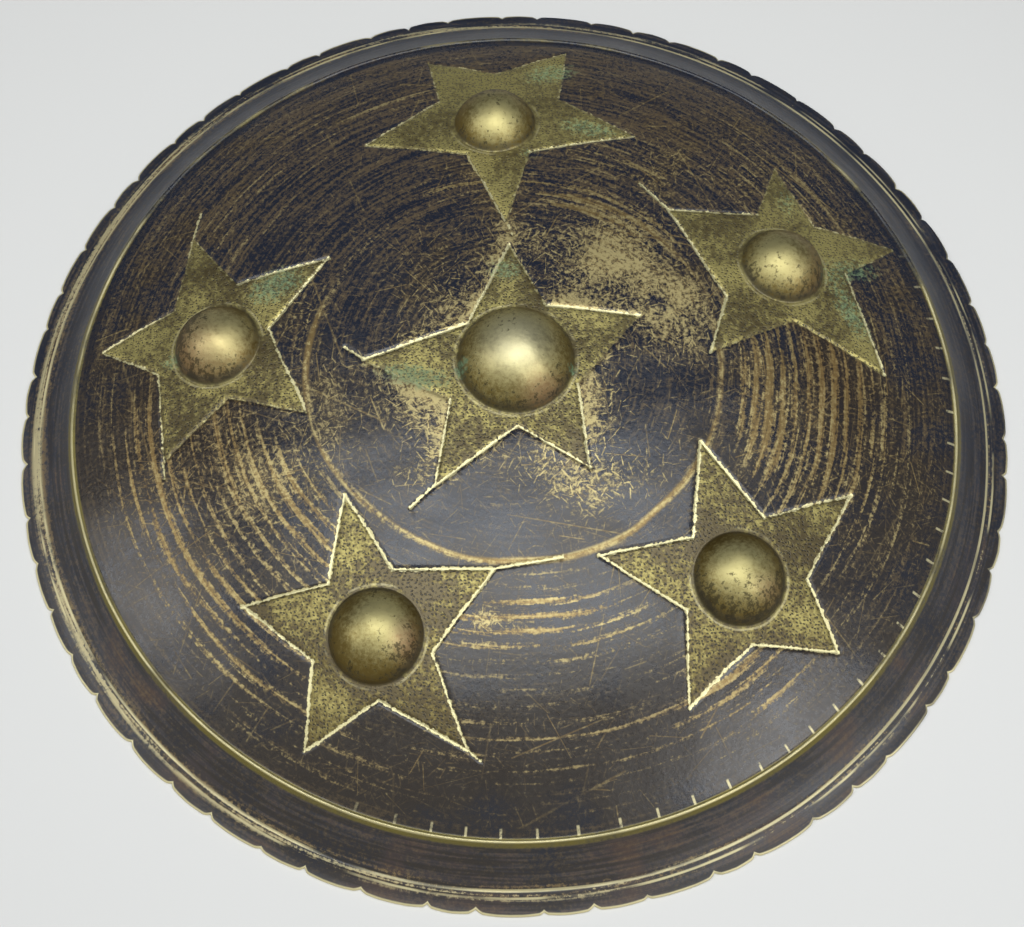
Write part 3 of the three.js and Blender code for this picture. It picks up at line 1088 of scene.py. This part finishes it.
punch_place = flat.vector("MULTIPLY", (1 / PUNCH, 1 / PUNCH, 0))
punch_colour, punch_middle = punch_place.cells(0.85)
punch_offset = punch_place.vector("SUBTRACT", punch_middle)
punch_side = direction_of(punch_colour.part(0) * 2.2)
punch_across = punch_offset.vector("DOT_PRODUCT", punch_side, output=1)
punch_length = punch_offset.vector("LENGTH", output=1)
punch_size = (punch_across * punch_across * 2.5 + punch_length * punch_length) ** 0.5
inside_star = 1.0 - star_edge.ramp(-0.4, 0.3)
off_boss = foot.ramp(0.2, 1.6)
punch = (1.0 - punch_size.ramp(0.18, 0.5)) * inside_star * off_boss
punch = punch * (punch_colour.part(1) * 1.1 + patches * 0.8 - 0.1).clip()

# %% Brim, bead, petals and boss feet
TICK = 4.5
TICK_MIDDLE = 142


def ring(at, wander, near, far):
    """A line round the shield at a radius, waving by this much."""
    return (radius - at + wander).band(near, far)


# The gold of the bead and the worn edge is painted brighter towards the near side, a painted
# highlight over real wear.
near_highlight = 1.0 - north.ramp(-10, 120) * 0.9
bead_break = arc_noise(13, 4, 3.0)
bead = (radius - (FIELD + 1.2)).band(0.9, 1.6)
bead_gold = bead * (bead_break * 0.7 + specks * 0.4 + near_highlight * 0.25).ramp(0.5, 0.95)
bead_line = ring(FIELD + 0.9, (bend - 0.5) * 1.2, 0.1, 0.6)
bead_bare = bead_line * (bead_break + near_highlight * 0.3).ramp(0.55, 0.85)

wander = (bend - 0.5) * 2.4
line_one = ring(LINE, wander, 0.2, 0.6) * (bead_break + 0.15).ramp(0.4, 0.7)
line_two = ring(LINE + 2.1, wander * 0.6, 0.15, 0.5) * bead_break.ramp(0.42, 0.62)
ring_band = ring(LINE + 1.2, wander * 0.5, 0.8, 2.4)
ring_band = ring_band * (narrow * 0.9 + specks * 0.6 - east * 0.0007).ramp(0.76, 0.92)
ring_zone = (radius - LINE - 0.6).band(1.0, 4.0)

on_brim = radius.ramp(FIELD + 2.2, FIELD + 3.0)
brim_wear = specks * 0.5 + bead_break * 0.3 + narrow * 0.3 + ring_zone * 0.12 - east * 0.0005
brim_bare = on_brim * brim_wear.ramp(0.64, 0.76) * (ring_zone * 0.8 + 0.2)
# Blue blotches on the brim are a painted reflection of the backdrop.
brim_painted_reflection = on_brim * (narrow * 0.7 + patches * 0.5).ramp(0.52, 0.72)
brim_rust = on_brim * (patches * 0.6 + narrow * 0.35 - north * 0.0008).ramp(0.56, 0.76)
brim_veil = streaks.ramp(0.5, 0.72)
arris_part = (bead_break + near_highlight * 0.3 - east * 0.001).ramp(0.4, 0.75)
arris_bare = (1.0 - rim_edge.ramp(0.3, 0.8)) * arris_part

angle = north.math("ARCTAN2", east) * (180 / math.pi)
tick_phase = angle / TICK + bend * 1.5
tick_away = abs(tick_phase.math("FRACT") - 0.5) * math.radians(TICK) * TICK_MIDDLE
tick_zone = radius.ramp(141.4, 142.0) * radius.ramp(144.6, 144.0)
tick_zone = tick_zone * angle.ramp(-115, -95) * angle.ramp(28, 5)
ticks = tick_away.band(0.2, 0.55) * tick_zone * (specks * 0.6 + bead_break * 0.5).ramp(0.4, 0.6)

boss = 1.0 - foot.ramp(-0.6, 0.2)
foot_line = (foot - 1.3 + (patches - 0.5) * 1.5).band(0.15, 0.5)
foot_line = foot_line * (bead_break * 0.4 + patches * 0.7).ramp(0.45, 0.62)
grime = (foot + 0.5).band(0.2, 1.7) * (patches * 0.7 + specks * 0.5).ramp(0.45, 0.65)
print("masks use", len(brass.node_tree.nodes), "nodes")

# %% [markdown]
# ## Colour, gloss and relief
#
# All the masks come together here. Colours are linear values mixed against the photograph.
# The relief is in thousandths of a millimetre, too fine for the mesh: punch marks and the pitting
# of the skin. The strokes, rings, bosses and petals are real geometry below it. One long shader
# would work out every mask at every point. Here the field, the stars, the bosses and the brim
# each get a surface of their own, so a point only works out the masks of the surface it lies on.

# %% Mix the finish
tan = (0.23, 0.155, 0.058, 1)
pale_gold = (0.78, 0.7, 0.4, 1)


def finish(colour, metal, rough, relief):
    """One metal surface: colour, metalness, roughness, and the bumps of the relief."""
    inputs = {"Height": relief, "Distance": 0.001, "Strength": 0.8}
    return start.node("ShaderNodeBsdfPrincipled", {}, {
        "Base Color": colour, "Metallic": metal * 0.92, "Roughness": rough.most(0.16),
        "Normal": relief.node("ShaderNodeBump", {}, inputs), "IOR": 1.55,
    })


def either(share, first, second):
    """The first surface where the share is nothing, the second where it is one."""
    return share.node("ShaderNodeMixShader", {}, {0: share, 1: first, 2: second})


# What the four surfaces share: pits, gloss, the dark skin, and the strokes, grime and green spots
# that lie over other colours.
pits = (grain - 0.5) * 0.07
gloss = 0.3 + (specks - 0.5) * 0.3 + (patches - 0.5) * 0.2
# The skin turns bluer under dark patches of skin and under the painted shade beside the upper
# bosses.
skin_brown = patches * 0.8 + warm * 0.5 - dark_skin_and_shade * 0.35 - north * 0.0012 + (specks - 0.5) * 0.5
skin = skin_brown.ramp(0.2, 0.62).mix((0.0085, 0.0115, 0.021, 1), (0.019, 0.0135, 0.009, 1))
stroke_tone = stroke_bare.ramp(0.15, 0.8).mix((0.34, 0.29, 0.1, 1), (0.68, 0.62, 0.34, 1))
green_part = (green * 0.8 + (specks - 0.5) * 1.6 + (patches - 0.5) * 0.4).ramp(0.3, 0.8)
green_tone = specks.ramp(0.4, 0.62).mix((0.025, 0.06, 0.03, 1), (0.14, 0.23, 0.115, 1))
clean = 1.0 - green_part * 0.9
dull = gloss + green_part * 0.3
engraved = (stroke_bare.ramp(0.0, 0.7), stroke_tone)
grimy = (grime * 0.75, (0.02, 0.016, 0.008, 1))
green_spots = (green_part * 0.7, green_tone)

# The field: dark skin, brown veil, worn gold.
straw = (0.51, 0.42, 0.19, 1)
gold = (narrow * 0.5 + specks * 0.6 + haze_bare * 0.12 - turned * 0.06).ramp(0.47, 0.72)
gold = (warm * 0.45).mix(gold.mix(tan, straw), (0.28, 0.165, 0.052, 1))
colour = layers(skin, (veil * 0.36, tan), (field_bare, gold), engraved, green_spots)
metal = (field_bare * 0.75).most(stroke_bare) * clean
field_surface = finish(colour, metal, dull + metal * 0.18, pits)

# The stars: olive brass, grime, punch marks. The brass is painted darker towards the near side as
# painted shade, to offset the stronger light that falls there.
olive = (patches + (grain - 0.5) * 0.8 + north * 0.002).ramp(0.2, 0.8)
olive = olive.mix((0.12, 0.09, 0.034, 1), (0.45, 0.385, 0.135, 1))
star_grime = specks * 0.5 + grain * 0.5 + (patches - 0.5) * 0.5 - rubbed_and_highlit * 0.05
star_grime = star_grime.ramp(0.54, 0.46)
colour = layers(olive, (star_grime * 0.5, (0.06, 0.045, 0.02, 1)),
                (punch * 0.92, (0.014, 0.012, 0.007, 1)), grimy, engraved,
                (foot_line * 0.3, pale_gold), green_spots)
metal = (0.85 - star_grime * 0.3).most(stroke_bare) * (1.0 - punch * 0.7)
metal = metal * (1.0 - grime * 0.6) * clean
star_surface = finish(colour, metal, dull + metal * 0.18, pits - punch * 0.12)

# The bosses: polished on top, dark and mottled round the foot. The pale patch on the middle boss's
# top is a painted highlight, and the outer bosses carry the painted highlight and painted shade of
# the ovals.
boss_height = foot.ramp(-1.0, -9.0)
boss_tone = (patches * 0.5 + specks * 0.75 + boss_height * 0.2 + rubbed_and_highlit * 0.25 - dark_skin_and_shade * 0.12
             + 0.05).ramp(0.6, 1.1)
boss_dark = (specks * 0.55 + grain * 0.35 + patches * 0.4 - boss_height * 0.09 + dark_skin_and_shade * 0.07
             - rubbed_and_highlit * 0.05).ramp(0.64, 0.74)
colour = layers(boss_tone.mix((0.17, 0.12, 0.03, 1), (0.48, 0.42, 0.185, 1)),
                # A painted highlight: a pale patch on the top of the middle boss.
                (radius.ramp(15, 3) * 0.5, (0.68, 0.64, 0.42, 1)),
                (warm * 0.45, (0.5, 0.3, 0.19, 1)),
                (boss_dark * 0.75, (0.03, 0.022, 0.012, 1)), grimy, green_spots)
rough = dull + 0.27 - boss_height * 0.1
boss_surface = finish(colour, clean * (1.0 - grime * 0.6), rough, pits)

# The brim: rusty blotches, blue blotches that are a painted reflection of the backdrop, gold bead,
# ring lines and edge. None of the gold lines but the worn edge runs on underneath.
front_side = 1.0 - under_side
bead_gold = bead_gold * front_side
bright = (bead_bare * 0.6).most(line_one * 0.7).most(line_two * 0.7)
bright = bright.most(ring_band * 0.5).most(ticks * 0.7)
bright = (bright * front_side).most(arris_bare * 0.85)
colour = layers(skin, (brim_painted_reflection * 0.8, (0.017, 0.023, 0.038, 1)),
                (brim_rust * 0.8, (0.055, 0.027, 0.012, 1)), (brim_veil * 0.2, tan),
                (bead_gold * 0.85, (0.24, 0.2, 0.058, 1)), (brim_bare * 0.6, tan),
                (bright, pale_gold))
metal = (bright * 0.9).most(bead_gold)
brim_surface = finish(colour, metal, gloss + metal * 0.18 + on_brim * 0.1, pits)

on_star = either(boss, star_surface, boss_surface)
inside_rim = either(inside_star.most(boss), field_surface, on_star)
whole = either(radius.ramp(140.8, 141.6), inside_rim, brim_surface)
start.node("ShaderNodeOutputMaterial", {}, {"Surface": whole})
shield.data.materials.append(brass)
print("material has", len(brass.node_tree.nodes), "nodes")

# %% [markdown]
# ## Floor and studio light
#
# The shield lies on a plain pale floor under a soft light close overhead, with a box to the right
# and a smaller one to the left. Large lights matter more than strong ones here, because glossy
# metal shows the shape of what it reflects. A picture of a studio round the scene would do as
# well, but three area lights and a dim grey room can be read and changed.

# %% Floor, lights and room
FLOOR = 12


def add_floor():
    """One large square at the table's height."""
    mesh = bpy.data.meshes.new("floor")
    corners = [(-1, -1), (1, -1), (1, 1), (-1, 1)]
    mesh.from_pydata([(FLOOR * x, FLOOR * y, 0) for x, y in corners], [], [(0, 1, 2, 3)])
    paper = bpy.data.materials.new("pale paper")
    paper.use_nodes = True
    shader = paper.node_tree.nodes["Principled BSDF"]
    shader.inputs["Base Color"].default_value = (0.7, 0.695, 0.67, 1)
    shader.inputs["Roughness"].default_value = 0.9
    shader.inputs["Specular IOR Level"].default_value = 0.1
    mesh.materials.append(paper)
    return put("floor", mesh)


def add_light(name, direction, distance, wide, deep, watts, colour):
    """A rectangle at a distance along a direction, turned to face the shield."""
    data = bpy.data.lights.new(name, "AREA")
    data.shape = "RECTANGLE"
    data.size, data.size_y = wide, deep
    data.energy = watts
    data.color = colour
    direction = np.array(direction) / np.linalg.norm(direction)
    across = np.cross((0, 0, 1), direction)
    across /= np.linalg.norm(across)
    upward = np.cross(direction, across)
    put(name, data).matrix_world = facing(across, upward, direction, direction * distance)


floor = add_floor()
add_light("softbox", (0.0, -0.02, 1.0), 0.65, 0.6, 0.36, 2.8, (0.95, 0.98, 1.0))
add_light("right_box", (0.6, -0.45, 0.66), 1.2, 0.5, 0.5, 3.6, (0.97, 0.98, 1.0))
add_light("left_box", (-0.77, -0.1, 0.63), 1.2, 0.4, 0.4, 2, (0.97, 0.98, 1.0))


def add_room():
    """Pale in front and overhead, dim and bluish behind, by how far a direction points north."""
    room = bpy.data.worlds.new("room")
    bpy.context.scene.world = room
    room.use_nodes = True
    room.node_tree.nodes.clear()
    sky = Wire(room.node_tree).node("ShaderNodeTexCoord", {}, {}, 0)
    behind = sky.part(1).ramp(-0.5, 0.7)
    tone = behind.mix((0.53, 0.53, 0.52, 1), (0.1, 0.115, 0.16, 1))
    light = sky.node("ShaderNodeBackground", {}, {"Color": tone, "Strength": 1.0})
    sky.node("ShaderNodeOutputWorld", {}, {"Surface": light})


add_room()
# Plain display colours keep the deep blacks of the patina, which a film-like curve would lift.
bpy.context.scene.view_settings.view_transform = "Standard"
print("floor and", len(bpy.data.lights), "lights")
